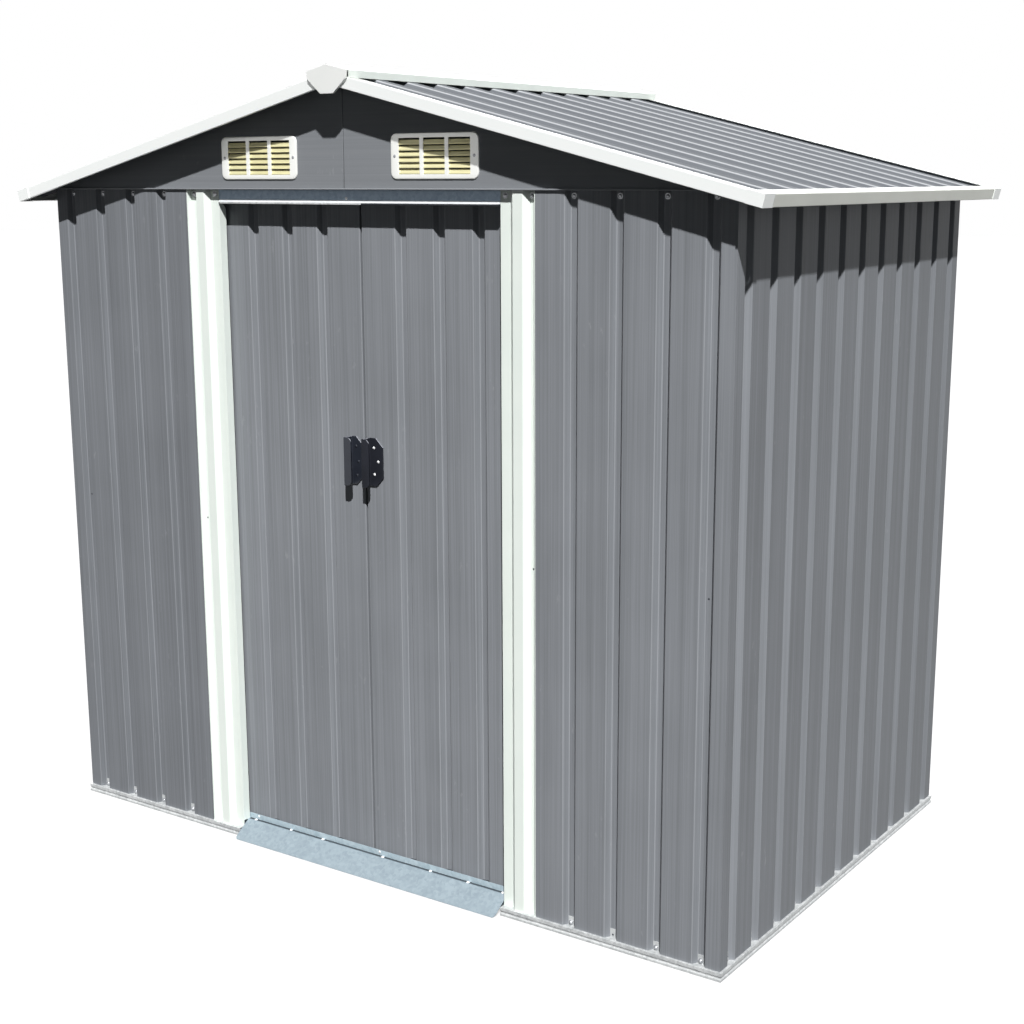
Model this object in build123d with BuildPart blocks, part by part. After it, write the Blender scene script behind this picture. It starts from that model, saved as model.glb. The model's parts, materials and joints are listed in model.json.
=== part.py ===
from build123d import *
import os
from math import atan, cos, sin

# Metal storage shed: ribbed sheet walls on galvanised rails, a ribbed gable roof and two sliding doors.
# Millimetres. X runs along the front, Y from front to back, Z up. The origin is on the ground, mid shed.

# Overall sizes
wall_width = 1900.0        # outside, over the flats of the side walls
wall_depth = 1180.0        # outside, over the flats of the front and back walls
wall_height = 1593.0       # ground to the foot of the gables
roof_rise_share = 0.244    # rise of the roof over its run
verge_overhang = 54.0      # roof past the front and back walls
eave_overhang = 75.0       # roof past the side walls

# Ribbed wall sheet: wide flats outside, narrow grooves pressed inwards
sheet = 0.8
groove_depth = 12.0
groove_mouth = 31.0
groove_floor = 15.0
groove_pitch = 106.5
corner_flat = 50.5         # wall corner to the middle of the first groove

# Galvanised base rail under the walls
rail_sheet = 1.0
rail_height = 20.0         # ledge that the sheets stand on
rail_proud = 5.0           # rail face ahead of the wall face
rail_foot = 22.0           # reach of the foot behind the wall face
rail_upstand = 18.0        # flange behind the sheets
rail_bead_foot = 5.0       # bead pressed into the rail's face
rail_bead_height = 7.0
rail_bead_depth = 2.0
tab_width = 13.0           # punched tabs that hold the groove floors
tab_height = 20.0

# Galvanised rails along the wall tops
top_rail_drop = 30.0
top_rail_flange = 30.0

# Doorway and its two pressed jambs
door_opening = 800.0       # between the jambs
jamb_cover = 89.0          # opening's edge to the end of the jamb's outer recess
jamb_rib_place = 50.0      # opening's edge to the middle of the pressed rib
jamb_rib_top = 24.0
jamb_rib_foot = 48.0
jamb_reach = 33.0          # inner edge of the jamb behind the wall face
jamb_corner = 18.0         # rounded top of the inner edge
jamb_edge_run = 2.5        # width of the steep fold along the jamb's outer edge
jamb_lip = 2.0             # flat lip that meets the front sheet

# Head track that the doors hang from
track_drop = 32.0          # below the wall top
track_reach = 80.0         # back edge behind the wall face
track_rear_drop = 18.0
track_hook_place = 30.0    # running hook behind the wall face
track_hook_height = 14.0
track_lip_reach = 4.0      # sloping lip along the face's lower edge, between the jambs
track_lip_height = 10.0
track_lip_edge = 2.0
track_lip_gap = 1.0        # lip's ends to the jambs

# Sill track and ramp in the doorway
sill_height = 36.0
sill_place = 26.0          # face behind the wall face
sill_width = 37.0
sill_upstand = 14.0
sill_foot = 32.0
sill_guide = 35.5          # guide ahead of the doors, behind the wall face
sill_guide_height = 14.0
ramp_reach = 25.0          # ahead of the wall face
ramp_flange = 9.0
ramp_side_gap = 2.0
ramp_corner = 10.0

# Sliding doors
door_face = 42.0           # door flats behind the wall face
door_meeting_gap = 5.0
door_lap = 15.0            # behind each jamb
door_sill_gap = 5.0
door_head_lap = 9.0        # door top above the lower edge of the head track
door_first_groove = 110.0  # meeting edge to the first groove
door_groove_pitch = 105.0
door_groove_count = 3
door_rail_height = 40.0

# Nylon sliders on the door tops
slider_length = 40.0
slider_inset = 40.0        # door edge to the slider
slider_run_gap = 0.3
slider_head_gap = 5.0
slider_leg = 6.0
slider_leg_gap = 3.0
slider_leg_drop = 9.0
slider_back_gap = 4.0

# Moulded door handles
handle_middle = 988.0      # height of the handle's middle
handle_height = 111.0
handle_sheet = 3.5
handle_reach = 30.0        # lip ahead of the door face
handle_lip = 21.0
handle_lip_round = 11.0
handle_chamfer = 20.0
right_handle_start = 12.0  # from the middle of the doorway
right_handle_width = 41.0
left_handle_start = 4.0
left_handle_width = 36.0

# Gables and their louvred vents
gable_seam = -8.0          # seam from the middle of the front
gable_seam_flange = 20.0
vent_place_share = 0.262   # seam to the vent's middle, over half the wall's width
vent_middle = 70.0         # gable foot to the vent's middle
vent_width = 230.0
vent_height = 95.0
vent_proud = 5.0
vent_corner = 14.0
vent_column_width = 56.0
vent_column_gap = 10.0
vent_column_height = 78.0
vent_columns = 3
vent_louvres = 6
louvre_sheet = 2.5
louvre_depth = 8.0
louvre_drop = 9.0
louvre_inset = 1.0         # louvre lips behind the frame's face, and above the column's foot
louvre_root = 1.0          # louvre ends let into the frame
vent_hole_margin = 2.0

# Ribbed roof sheets
roof_valley_mouth = 78.0
roof_valley_floor = 54.0
roof_rib_height = 12.0
roof_bays = 12
ridge_gap = 8.0            # sheet's upper end short of the ridge line

# White roof trims
trim_sheet = 1.0
verge_flange = 30.0
verge_face = 25.5
verge_hem = 6.0
eave_flange = 30.0
eave_face = 25.5
eave_hem = 8.0
ridge_cap_half = 58.0
ridge_cap_lip = 15.5
ridge_end_half = 56.0
ridge_end_height = 61.5
ridge_end_sheet = 6.0
ridge_end_waist_share = 0.955
ridge_end_toe_share = 0.32
ridge_end_waist_drop = 31.0
corner_cap_sheet = 2.0
corner_cap_verge = 35.0
corner_cap_eave = 40.0
corner_cap_height = 26.5
corner_cap_lift = 1.0

# Ridge beam
beam_width = 40.0
beam_height = 35.0
beam_sheet = 1.0

# Sizes that follow from those above
floor_depth = groove_depth + sheet
front_y = -wall_depth / 2
back_y = wall_depth / 2
right_x = wall_width / 2
opening_edge = door_opening / 2
vent_place = vent_place_share * right_x
track_foot = wall_height - track_drop
jamb_edge = opening_edge + jamb_cover
jamb_end = jamb_edge + jamb_edge_run + jamb_lip
slope_angle = atan(roof_rise_share)
slope_cos = cos(slope_angle)
slope_sin = sin(slope_angle)
ridge_under = wall_height + roof_rise_share * right_x
slope_length = (right_x + eave_overhang) / slope_cos
roof_top = roof_rib_height + sheet
trim_top = roof_top + trim_sheet
roof_run = wall_depth + 2 * verge_overhang
door_bottom = sill_height + rail_sheet + door_sill_gap + rail_sheet
door_top = track_foot + door_head_lap
door_start = door_meeting_gap / 2
door_end = opening_edge + door_lap
door_back = door_face + floor_depth

# Each wall has a frame of its own: local x along the wall, local y indoors, z up, middle on the ground
front = Plane(origin=(0, front_y, 0), x_dir=(1, 0, 0), z_dir=(0, 0, 1))
back = Plane(origin=(0, back_y, 0), x_dir=(-1, 0, 0), z_dir=(0, 0, 1))
right = Plane(origin=(right_x, 0, 0), x_dir=(0, 1, 0), z_dir=(0, 0, 1))
left = Plane(origin=(-right_x, 0, 0), x_dir=(0, -1, 0), z_dir=(0, 0, 1))

# The right slope: s runs down the slope, v square out of it, from the ridge line of the sheet's underside
slope_down = Vector(slope_cos, 0, -slope_sin)
slope_out = Vector(slope_sin, 0, slope_cos)
ridge_line = Vector(0, 0, ridge_under)

os.makedirs("parts", exist_ok=True)


def save(piece, name):
    """Labels a finished piece and writes it."""
    piece.part.label = name
    export_step(piece.part, f"parts/{name}.step")


def across(wall, start):
    """The plane square to a wall's run: local x points indoors, local y up."""
    return Plane(origin=wall.from_local_coords(Vector(start, 0, 0)), x_dir=wall.y_dir, z_dir=wall.x_dir)


def on_slope(s, y, v):
    """A point of the right slope, s down from the ridge and v out of the sheet's underside."""
    return ridge_line + slope_down * s + slope_out * v + Vector(0, y, 0)


def folded(plane, points, thickness, side):
    """The section of a sheet folded along points, thickened to one side."""
    with BuildSketch(plane) as section:
        with BuildLine():
            Polyline(*points)
            offset(amount=thickness, side=side, kind=Kind.INTERSECTION)
        make_face()
    return section.sketch


def ribbed(start, end, middles, mouth=groove_mouth, floor=groove_floor, depth=groove_depth):
    """The outer line of a ribbed sheet, with a groove at each middle."""
    points = [(start, 0)]
    for middle in middles:
        points.append((middle - mouth / 2, 0))
        points.append((middle - floor / 2, depth))
        points.append((middle + floor / 2, depth))
        points.append((middle + mouth / 2, 0))
    points.append((end, 0))
    return points


def spread(first, last, pitch):
    """Evenly spaced places from first to last, about a pitch apart."""
    gaps = max(1, round((last - first) / pitch))
    return [first + (last - first) * step / gaps for step in range(gaps + 1)]


def wall_grooves(length):
    """Groove middles along a whole wall of that length."""
    return spread(corner_flat - length / 2, length / 2 - corner_flat, groove_pitch)


def front_grooves():
    """Groove middles of the front sheet right of the doorway, from the corner inwards."""
    room = right_x - corner_flat - jamb_end - groove_mouth / 2
    return [right_x - corner_flat - groove_pitch * step for step in range(int(room / groove_pitch), -1, -1)]


# Base rails, mitred where two meet
bead_top = rail_bead_foot + rail_bead_height
bead_floor = rail_bead_depth - rail_proud
rail_line = [(rail_foot, 0), (-rail_proud, 0), (-rail_proud, rail_bead_foot),
             (bead_floor, rail_bead_foot + rail_bead_depth), (bead_floor, bead_top - rail_bead_depth),
             (-rail_proud, bead_top), (-rail_proud, rail_height), (floor_depth, rail_height),
             (floor_depth, rail_height + rail_upstand)]


def base_rail(wall, start, end, tab_places, mitres):
    """A stretch of base rail with its tabs, mitred at the wall ends listed in mitres."""
    with BuildPart() as rail:
        extrude(folded(across(wall, start), rail_line, rail_sheet, Side.RIGHT), amount=end - start)
        for mitre in mitres:
            corner = wall.from_local_coords(Vector(mitre, 0, 0))
            outward = wall.x_dir * (1 if mitre > 0 else -1) + wall.y_dir
            split(bisect_by=Plane(origin=corner, z_dir=outward), keep=Keep.BOTTOM)
        for place in tab_places:
            foot = wall.from_local_coords(Vector(place, groove_depth - rail_sheet / 2, rail_height))
            with BuildSketch(Plane(origin=foot, x_dir=wall.x_dir, z_dir=wall.z_dir)):
                Rectangle(tab_width, rail_sheet)
            extrude(amount=tab_height)
    return rail


rail_end = right_x + rail_proud
side_end = back_y + rail_proud
front_rail_right = base_rail(front, opening_edge + sheet, rail_end, front_grooves(), [right_x])
save(front_rail_right, "front_rail_right")
with BuildPart() as front_rail_left:
    mirror(front_rail_right.part, about=Plane.YZ)
save(front_rail_left, "front_rail_left")
save(base_rail(back, -rail_end, rail_end, wall_grooves(wall_width), [-right_x, right_x]), "back_rail")
save(base_rail(right, -side_end, side_end, wall_grooves(wall_depth), [-back_y, back_y]), "right_rail")
save(base_rail(left, -side_end, side_end, wall_grooves(wall_depth), [-back_y, back_y]), "left_rail")


# Ribbed walls
def wall_sheet(wall, points):
    """A sheet that stands on the base rail's ledge and ends at the gable's foot."""
    with BuildPart() as panel:
        extrude(folded(wall.offset(rail_height), points, sheet, Side.LEFT), amount=wall_height - rail_height)
    return panel


front_right_wall = wall_sheet(front, ribbed(jamb_end, right_x, front_grooves()))
save(front_right_wall, "front_right_wall")
with BuildPart() as front_left_wall:
    mirror(front_right_wall.part, about=Plane.YZ)
save(front_left_wall, "front_left_wall")
save(wall_sheet(back, ribbed(-right_x, right_x, wall_grooves(wall_width))), "back_wall")
side_line = ribbed(front_y + sheet, back_y - sheet, wall_grooves(wall_depth))
save(wall_sheet(right, side_line), "right_wall")
save(wall_sheet(left, side_line), "left_wall")

# Door jambs: a pressed rib, an outer recess that rises to the front sheet, and an inner edge that turns back
# into the doorway
rib_middle = opening_edge + jamb_rib_place
jamb_line = [(opening_edge, groove_depth), (rib_middle - jamb_rib_foot / 2, groove_depth),
             (rib_middle - jamb_rib_top / 2, 0), (rib_middle + jamb_rib_top / 2, 0),
             (rib_middle + jamb_rib_foot / 2, groove_depth), (jamb_edge, groove_depth),
             (jamb_edge + jamb_edge_run, 0), (jamb_end, 0)]
with BuildPart() as right_jamb:
    extrude(folded(front.offset(rail_height), jamb_line, sheet, Side.LEFT), amount=wall_height - rail_height)
    with BuildSketch(across(front, opening_edge)) as inner_edge:
        with BuildLine():
            Polyline((groove_depth, track_foot), (groove_depth, sill_height), (jamb_reach, sill_height),
                     (jamb_reach, track_foot - jamb_corner))
            RadiusArc((jamb_reach, track_foot - jamb_corner), (jamb_reach - jamb_corner, track_foot), -jamb_corner)
            Line((jamb_reach - jamb_corner, track_foot), (groove_depth, track_foot))
        make_face()
    extrude(amount=sheet)
save(right_jamb, "right_jamb")
with BuildPart() as left_jamb:
    mirror(right_jamb.part, about=Plane.YZ)
save(left_jamb, "left_jamb")

# Head track: face with a sloping lip, top, rear drop and the running hook that the sliders hang on
track_end = right_x - floor_depth
hook_top = track_foot + track_hook_height
track_line = [(track_hook_place, hook_top), (track_hook_place, track_foot), (floor_depth, track_foot),
              (floor_depth, wall_height), (track_reach, wall_height),
              (track_reach, wall_height - track_rear_drop)]
lip_end = opening_edge - track_lip_gap
lip_front = floor_depth - track_lip_reach
lip_line = [(floor_depth, track_foot + track_lip_height), (lip_front, track_foot + track_lip_edge),
            (lip_front, track_foot), (floor_depth, track_foot)]
with BuildPart() as head_track:
    extrude(folded(across(front, -track_end), track_line, rail_sheet, Side.RIGHT), amount=2 * track_end)
    extrude(folded(across(front, -lip_end), lip_line, rail_sheet, Side.LEFT), amount=2 * lip_end)
save(head_track, "door_head_track")


# Rails along the other wall tops
def top_rail(wall, start, end):
    """An angle inside a wall's upper edge."""
    line = [(floor_depth, wall_height - top_rail_drop), (floor_depth, wall_height),
            (floor_depth + top_rail_flange, wall_height)]
    with BuildPart() as rail:
        extrude(folded(across(wall, start), line, rail_sheet, Side.RIGHT), amount=end - start)
    return rail


save(top_rail(back, -track_end, track_end), "back_top_rail")
side_rail_front = front_y + track_reach
side_rail_back = back_y - floor_depth - top_rail_flange
save(top_rail(right, side_rail_front, side_rail_back), "right_top_rail")
save(top_rail(left, -side_rail_back, -side_rail_front), "left_top_rail")

# Sill track behind the front wall with a guide ahead of the doors, and the ramp up to it
sill_end = right_x - rail_foot - rail_proud
sill_back = sill_place + sill_width
sill_line = [(sill_place + sill_foot, 0), (sill_place, 0), (sill_place, sill_height), (sill_back, sill_height),
             (sill_back, sill_height + sill_upstand)]
with BuildPart() as sill_track:
    extrude(folded(across(front, -sill_end), sill_line, rail_sheet, Side.RIGHT), amount=2 * sill_end)
    with BuildSketch(front.offset(sill_height)):
        with Locations((0, sill_guide)):
            Rectangle(2 * sill_end, rail_sheet, align=(Align.CENTER, Align.MIN))
    extrude(amount=sill_guide_height)
save(sill_track, "door_sill_track")

ramp_half = opening_edge - ramp_side_gap
ramp_back = sill_place + ramp_flange
ramp_front = -ramp_reach - rail_sheet
ramp_line = [(-ramp_reach, 0), (sill_place, sill_height), (ramp_back, sill_height)]
with BuildPart() as ramp:
    extrude(folded(across(front, -ramp_half), ramp_line, rail_sheet, Side.LEFT), amount=2 * ramp_half)
    with BuildSketch(front) as ramp_plan:
        with Locations((0, (ramp_front + ramp_back) / 2)):
            Rectangle(2 * ramp_half, ramp_back - ramp_front)
        fillet(ramp_plan.vertices().group_by(Axis.Y)[0], radius=ramp_corner)
    extrude(amount=sill_height + rail_sheet, mode=Mode.INTERSECT)
save(ramp, "door_ramp")


# Gables: two flat sheets at each end, each with a folded seam and a hole behind its vent
def under_roof(x):
    """Height of the roof sheet's underside at x."""
    return ridge_under - roof_rise_share * abs(x)


def gable_half(outline, flange_start, vent_x):
    """One gable sheet of the front, from its outline in x and z."""
    upright = Plane(origin=(0, front_y, 0), x_dir=(1, 0, 0), z_dir=(0, -1, 0))
    hole_width = vent_columns * vent_column_width + (vent_columns - 1) * vent_column_gap
    with BuildPart() as half:
        with BuildSketch(upright) as gable:
            with BuildLine():
                Polyline(*outline, close=True)
            make_face()
            with Locations((vent_x, wall_height + vent_middle)):
                Rectangle(hole_width + 2 * vent_hole_margin, vent_column_height + 2 * vent_hole_margin,
                          mode=Mode.SUBTRACT)
        extrude(amount=-sheet)
        with BuildSketch(Plane(origin=(0, front_y, wall_height))):
            with Locations((flange_start, 0)):
                Rectangle(sheet, gable_seam_flange, align=(Align.MIN, Align.MIN))
        extrude(amount=under_roof(gable_seam) - sheet - wall_height)
    return half


seam_foot = (gable_seam, wall_height)
seam_top = (gable_seam, under_roof(gable_seam))
right_gable_line = [seam_foot, (right_x, wall_height), (0, ridge_under), seam_top]
left_gable_line = [seam_foot, seam_top, (-right_x, wall_height)]
front_gable_right = gable_half(right_gable_line, gable_seam, gable_seam + vent_place)
front_gable_left = gable_half(left_gable_line, gable_seam - sheet, gable_seam - vent_place)
save(front_gable_right, "front_gable_right")
save(front_gable_left, "front_gable_left")
with BuildPart() as back_gable_right:
    mirror(front_gable_right.part, about=Plane.XZ)
save(back_gable_right, "back_gable_right")
with BuildPart() as back_gable_left:
    mirror(front_gable_left.part, about=Plane.XZ)
save(back_gable_left, "back_gable_left")


# Louvred vents
def gable_vent(middle_x):
    """A moulded frame on the front gable with three columns of sloping louvres."""
    middle_z = wall_height + vent_middle
    field_width = vent_columns * vent_column_width + (vent_columns - 1) * vent_column_gap
    louvre_pitch = vent_column_height / vent_louvres
    with BuildPart() as vent:
        with BuildSketch(Plane(origin=(middle_x, front_y, middle_z), x_dir=(1, 0, 0), z_dir=(0, -1, 0))):
            RectangleRounded(vent_width, vent_height, vent_corner)
            with GridLocations(vent_column_width + vent_column_gap, 0, vent_columns, 1):
                Rectangle(vent_column_width, vent_column_height, mode=Mode.SUBTRACT)
        extrude(amount=vent_proud)
        for row in range(vent_louvres):
            lip = Vector(middle_x - field_width / 2 - louvre_root, front_y - vent_proud + louvre_inset,
                         middle_z - vent_column_height / 2 + louvre_inset + row * louvre_pitch)
            side_on = Plane(origin=lip, x_dir=(0, 1, 0), z_dir=(1, 0, 0))
            with BuildSketch(side_on):
                with BuildLine():
                    Polyline((0, 0), (louvre_depth, louvre_drop), (louvre_depth, louvre_drop + louvre_sheet),
                             (0, louvre_sheet), close=True)
                make_face()
            extrude(amount=field_width + 2 * louvre_root)
    return vent


front_vent_right = gable_vent(gable_seam + vent_place)
front_vent_left = gable_vent(gable_seam - vent_place)
save(front_vent_right, "front_vent_right")
save(front_vent_left, "front_vent_left")
with BuildPart() as back_vent_right:
    mirror(front_vent_right.part, about=Plane.XZ)
save(back_vent_right, "back_vent_right")
with BuildPart() as back_vent_left:
    mirror(front_vent_left.part, about=Plane.XZ)
save(back_vent_left, "back_vent_left")

# Roof sheets: ribs run down the slope, and a half rib lies under each verge trim
roof_start = front_y - verge_overhang + trim_sheet
roof_end = back_y + verge_overhang - trim_sheet
bay = (roof_end - roof_start) / roof_bays
valleys = [roof_start + bay / 2 + bay * step for step in range(roof_bays)]
roof_line = ribbed(roof_start, roof_end, valleys, roof_valley_mouth, roof_valley_floor, roof_rib_height)
eave_section = Plane(origin=on_slope(slope_length, 0, roof_top), x_dir=(0, 1, 0), z_dir=-slope_down)
with BuildPart() as roof_right:
    extrude(folded(eave_section, roof_line, sheet, Side.LEFT), amount=slope_length - ridge_gap)
save(roof_right, "roof_right")
with BuildPart() as roof_left:
    mirror(roof_right.part, about=Plane.YZ)
save(roof_left, "roof_left")

# Verge trims along the sloping roof edges, mitred at the ridge
verge_y = front_y - verge_overhang
verge_section = Plane(origin=on_slope(-verge_face, verge_y, 0), x_dir=(0, 1, 0), z_dir=slope_down)
verge_line = [(verge_flange, trim_top), (0, trim_top), (0, trim_top - verge_face),
              (verge_hem, trim_top - verge_face)]
with BuildPart() as front_verge_right:
    extrude(folded(verge_section, verge_line, trim_sheet, Side.LEFT), amount=slope_length + verge_face)
    split(bisect_by=Plane.YZ, keep=Keep.TOP)
save(front_verge_right, "front_verge_right")
with BuildPart() as front_verge_left:
    mirror(front_verge_right.part, about=Plane.YZ)
save(front_verge_left, "front_verge_left")
with BuildPart() as back_verge_right:
    mirror(front_verge_right.part, about=Plane.XZ)
save(back_verge_right, "back_verge_right")
with BuildPart() as back_verge_left:
    mirror(front_verge_left.part, about=Plane.XZ)
save(back_verge_left, "back_verge_left")

# Eave trims, between the verge flanges
eave_back = back_y + verge_overhang - verge_flange
eave_plane = Plane(origin=on_slope(slope_length, eave_back, 0), x_dir=slope_down, z_dir=(0, -1, 0))
eave_line = [(-eave_flange, trim_top), (trim_sheet, trim_top), (trim_sheet, trim_top - eave_face),
             (-eave_hem, trim_top - eave_face)]
with BuildPart() as right_eave:
    extrude(folded(eave_plane, eave_line, trim_sheet, Side.RIGHT), amount=roof_run - 2 * verge_flange)
save(right_eave, "right_eave_trim")
with BuildPart() as left_eave:
    mirror(right_eave.part, about=Plane.YZ)
save(left_eave, "left_eave_trim")

# Corner caps where verge and eave trims end
cap_foot = trim_top + corner_cap_lift - corner_cap_height
cap_plane = Plane(origin=on_slope(slope_length, verge_y, cap_foot), x_dir=slope_down, z_dir=slope_out)
cap_line = [(-corner_cap_verge, 0), (trim_sheet, 0), (trim_sheet, corner_cap_eave)]
with BuildPart() as corner_cap:
    extrude(folded(cap_plane, cap_line, corner_cap_sheet, Side.RIGHT), amount=corner_cap_height)
with BuildPart() as corner_caps:
    add(corner_cap.part)
    mirror(about=Plane.YZ)
    mirror(about=Plane.XZ)
save(corner_caps, "eave_corner_caps")

# Ridge cap on the verge flanges, with a moulded cap at each end
cap_lip_foot = under_roof(ridge_cap_half - trim_sheet) + trim_top / slope_cos
cap_edge = cap_lip_foot + ridge_cap_lip
cap_apex = cap_edge + roof_rise_share * ridge_cap_half
ridge_section = Plane(origin=(0, back_y + verge_overhang, 0), x_dir=(1, 0, 0), z_dir=(0, -1, 0))
ridge_cap_line = [(-ridge_cap_half, cap_lip_foot), (-ridge_cap_half, cap_edge), (0, cap_apex),
                  (ridge_cap_half, cap_edge), (ridge_cap_half, cap_lip_foot)]
with BuildPart() as ridge_cap:
    extrude(folded(ridge_section, ridge_cap_line, trim_sheet, Side.RIGHT), amount=roof_run)
save(ridge_cap, "ridge_cap")

end_waist = ridge_end_half * ridge_end_waist_share
end_toe = ridge_end_half * ridge_end_toe_share
end_shoulder = cap_apex - roof_rise_share * ridge_end_half
with BuildPart() as ridge_end:
    with BuildSketch(Plane(origin=(0, verge_y, 0), x_dir=(1, 0, 0), z_dir=(0, -1, 0))):
        with BuildLine():
            Polyline((0, cap_apex), (ridge_end_half, end_shoulder), (end_waist, cap_apex - ridge_end_waist_drop),
                     (end_toe, cap_apex - ridge_end_height), (-end_toe, cap_apex - ridge_end_height),
                     (-end_waist, cap_apex - ridge_end_waist_drop), (-ridge_end_half, end_shoulder), close=True)
        make_face()
    extrude(amount=ridge_end_sheet)
with BuildPart() as ridge_ends:
    add(ridge_end.part)
    mirror(about=Plane.XZ)
save(ridge_ends, "ridge_end_caps")

# Ridge beam, a channel under the two roof sheets between the gable seams
beam_top = under_roof(beam_width / 2)
beam_start = back_y - gable_seam_flange - sheet
beam_section = Plane(origin=(0, beam_start, 0), x_dir=(1, 0, 0), z_dir=(0, -1, 0))
beam_line = [(-beam_width / 2, beam_top - beam_height), (-beam_width / 2, beam_top), (beam_width / 2, beam_top),
             (beam_width / 2, beam_top - beam_height)]
with BuildPart() as ridge_beam:
    extrude(folded(beam_section, beam_line, beam_sheet, Side.RIGHT), amount=2 * beam_start)
save(ridge_beam, "ridge_beam")

# Right door: ribbed sheet with folded edges, an angle along its head and foot, and two sliders
door_grooves = [door_start + door_first_groove + door_groove_pitch * step for step in range(door_groove_count)]
door_line = [(x, door_face + y) for x, y in ribbed(door_start, door_end, door_grooves)]
door_line = [(door_start, door_face + groove_depth)] + door_line + [(door_end, door_face + groove_depth)]
with BuildPart() as right_door:
    extrude(folded(front.offset(door_bottom), door_line, sheet, Side.LEFT), amount=door_top - door_bottom)
save(right_door, "right_door_panel")
with BuildPart() as left_door:
    mirror(right_door.part, about=Plane.YZ)
save(left_door, "left_door_panel")

door_section = across(front, door_start)
door_head_line = [(door_face, door_top), (door_back, door_top), (door_back, door_top - door_rail_height)]
door_foot_line = [(door_face, door_bottom), (door_back, door_bottom), (door_back, door_bottom + door_rail_height)]
with BuildPart() as right_door_rails:
    extrude(folded(door_section, door_head_line, rail_sheet, Side.LEFT), amount=door_end - door_start)
    extrude(folded(door_section, door_foot_line, rail_sheet, Side.RIGHT), amount=door_end - door_start)
save(right_door_rails, "right_door_rails")
with BuildPart() as left_door_rails:
    mirror(right_door_rails.part, about=Plane.YZ)
save(left_door_rails, "left_door_rails")

slider_foot = door_top + rail_sheet
slider_roof = hook_top + slider_run_gap
slider_head = wall_height - rail_sheet - slider_head_gap
slider_rear = door_back + rail_sheet
leg_back = track_hook_place - rail_sheet - slider_leg_gap
neck = track_hook_place + slider_back_gap
slider_line = [(slider_rear, slider_foot), (slider_rear, slider_head), (leg_back - slider_leg, slider_head),
               (leg_back - slider_leg, slider_roof - slider_leg_drop), (leg_back, slider_roof - slider_leg_drop),
               (leg_back, slider_roof), (neck, slider_roof), (neck, slider_foot)]
with BuildPart() as right_sliders:
    for slider_start in (door_start + slider_inset, door_end - slider_inset - slider_length):
        with BuildSketch(across(front, slider_start)):
            with BuildLine():
                Polyline(*slider_line, close=True)
            make_face()
        extrude(amount=slider_length)
save(right_sliders, "right_door_sliders")
with BuildPart() as left_sliders:
    mirror(right_sliders.part, about=Plane.YZ)
save(left_sliders, "left_door_sliders")


# Door handles: C-shaped mouldings with cut corners on the plate and rounded corners on the lip
def door_handle(start, width):
    """A plate on the door face, a web along its left edge and a lip that fingers reach behind."""
    foot = Plane(origin=(start, front_y + door_face, handle_middle - handle_height / 2))
    line = [(width, 0), (0, 0), (0, -handle_reach), (handle_lip, -handle_reach)]
    with BuildPart() as handle:
        extrude(folded(foot, line, handle_sheet, Side.LEFT), amount=handle_height)
        chamfer(handle.edges().filter_by(Axis.Y).group_by(Axis.X)[-1], length=handle_chamfer)
        fillet(handle.edges().filter_by(Axis.Y).group_by(Axis.Y)[0], radius=handle_lip_round)
    return handle


save(door_handle(right_handle_start, right_handle_width), "right_door_handle")
save(door_handle(-left_handle_start - left_handle_width, left_handle_width), "left_door_handle")
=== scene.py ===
import json
from math import radians

import bmesh
import bpy
from mathutils import Matrix, Vector


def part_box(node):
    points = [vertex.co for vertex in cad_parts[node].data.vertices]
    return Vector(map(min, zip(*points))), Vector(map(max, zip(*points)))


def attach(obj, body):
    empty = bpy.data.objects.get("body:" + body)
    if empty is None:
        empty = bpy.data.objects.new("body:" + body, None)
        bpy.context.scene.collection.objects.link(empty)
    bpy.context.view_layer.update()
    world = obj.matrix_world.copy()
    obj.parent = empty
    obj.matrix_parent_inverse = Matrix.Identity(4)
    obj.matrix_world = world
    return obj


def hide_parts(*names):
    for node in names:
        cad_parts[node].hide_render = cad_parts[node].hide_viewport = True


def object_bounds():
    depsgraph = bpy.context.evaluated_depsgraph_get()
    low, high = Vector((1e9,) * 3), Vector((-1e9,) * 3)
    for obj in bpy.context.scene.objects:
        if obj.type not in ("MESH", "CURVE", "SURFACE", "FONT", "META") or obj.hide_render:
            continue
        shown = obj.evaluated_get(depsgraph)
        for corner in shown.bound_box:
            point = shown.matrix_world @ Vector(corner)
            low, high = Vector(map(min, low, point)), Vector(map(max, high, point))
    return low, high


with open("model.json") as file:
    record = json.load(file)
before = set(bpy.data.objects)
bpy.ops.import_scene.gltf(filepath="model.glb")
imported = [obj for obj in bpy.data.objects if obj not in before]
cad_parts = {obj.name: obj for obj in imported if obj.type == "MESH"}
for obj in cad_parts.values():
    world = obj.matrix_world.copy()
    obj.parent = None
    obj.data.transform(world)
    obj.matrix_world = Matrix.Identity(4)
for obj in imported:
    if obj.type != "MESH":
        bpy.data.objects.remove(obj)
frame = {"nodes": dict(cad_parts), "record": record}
cad_low, cad_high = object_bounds()
nodes = frame["nodes"]

# Metal storage shed. Metres; x along the front, y from front to back, z up.

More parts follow.
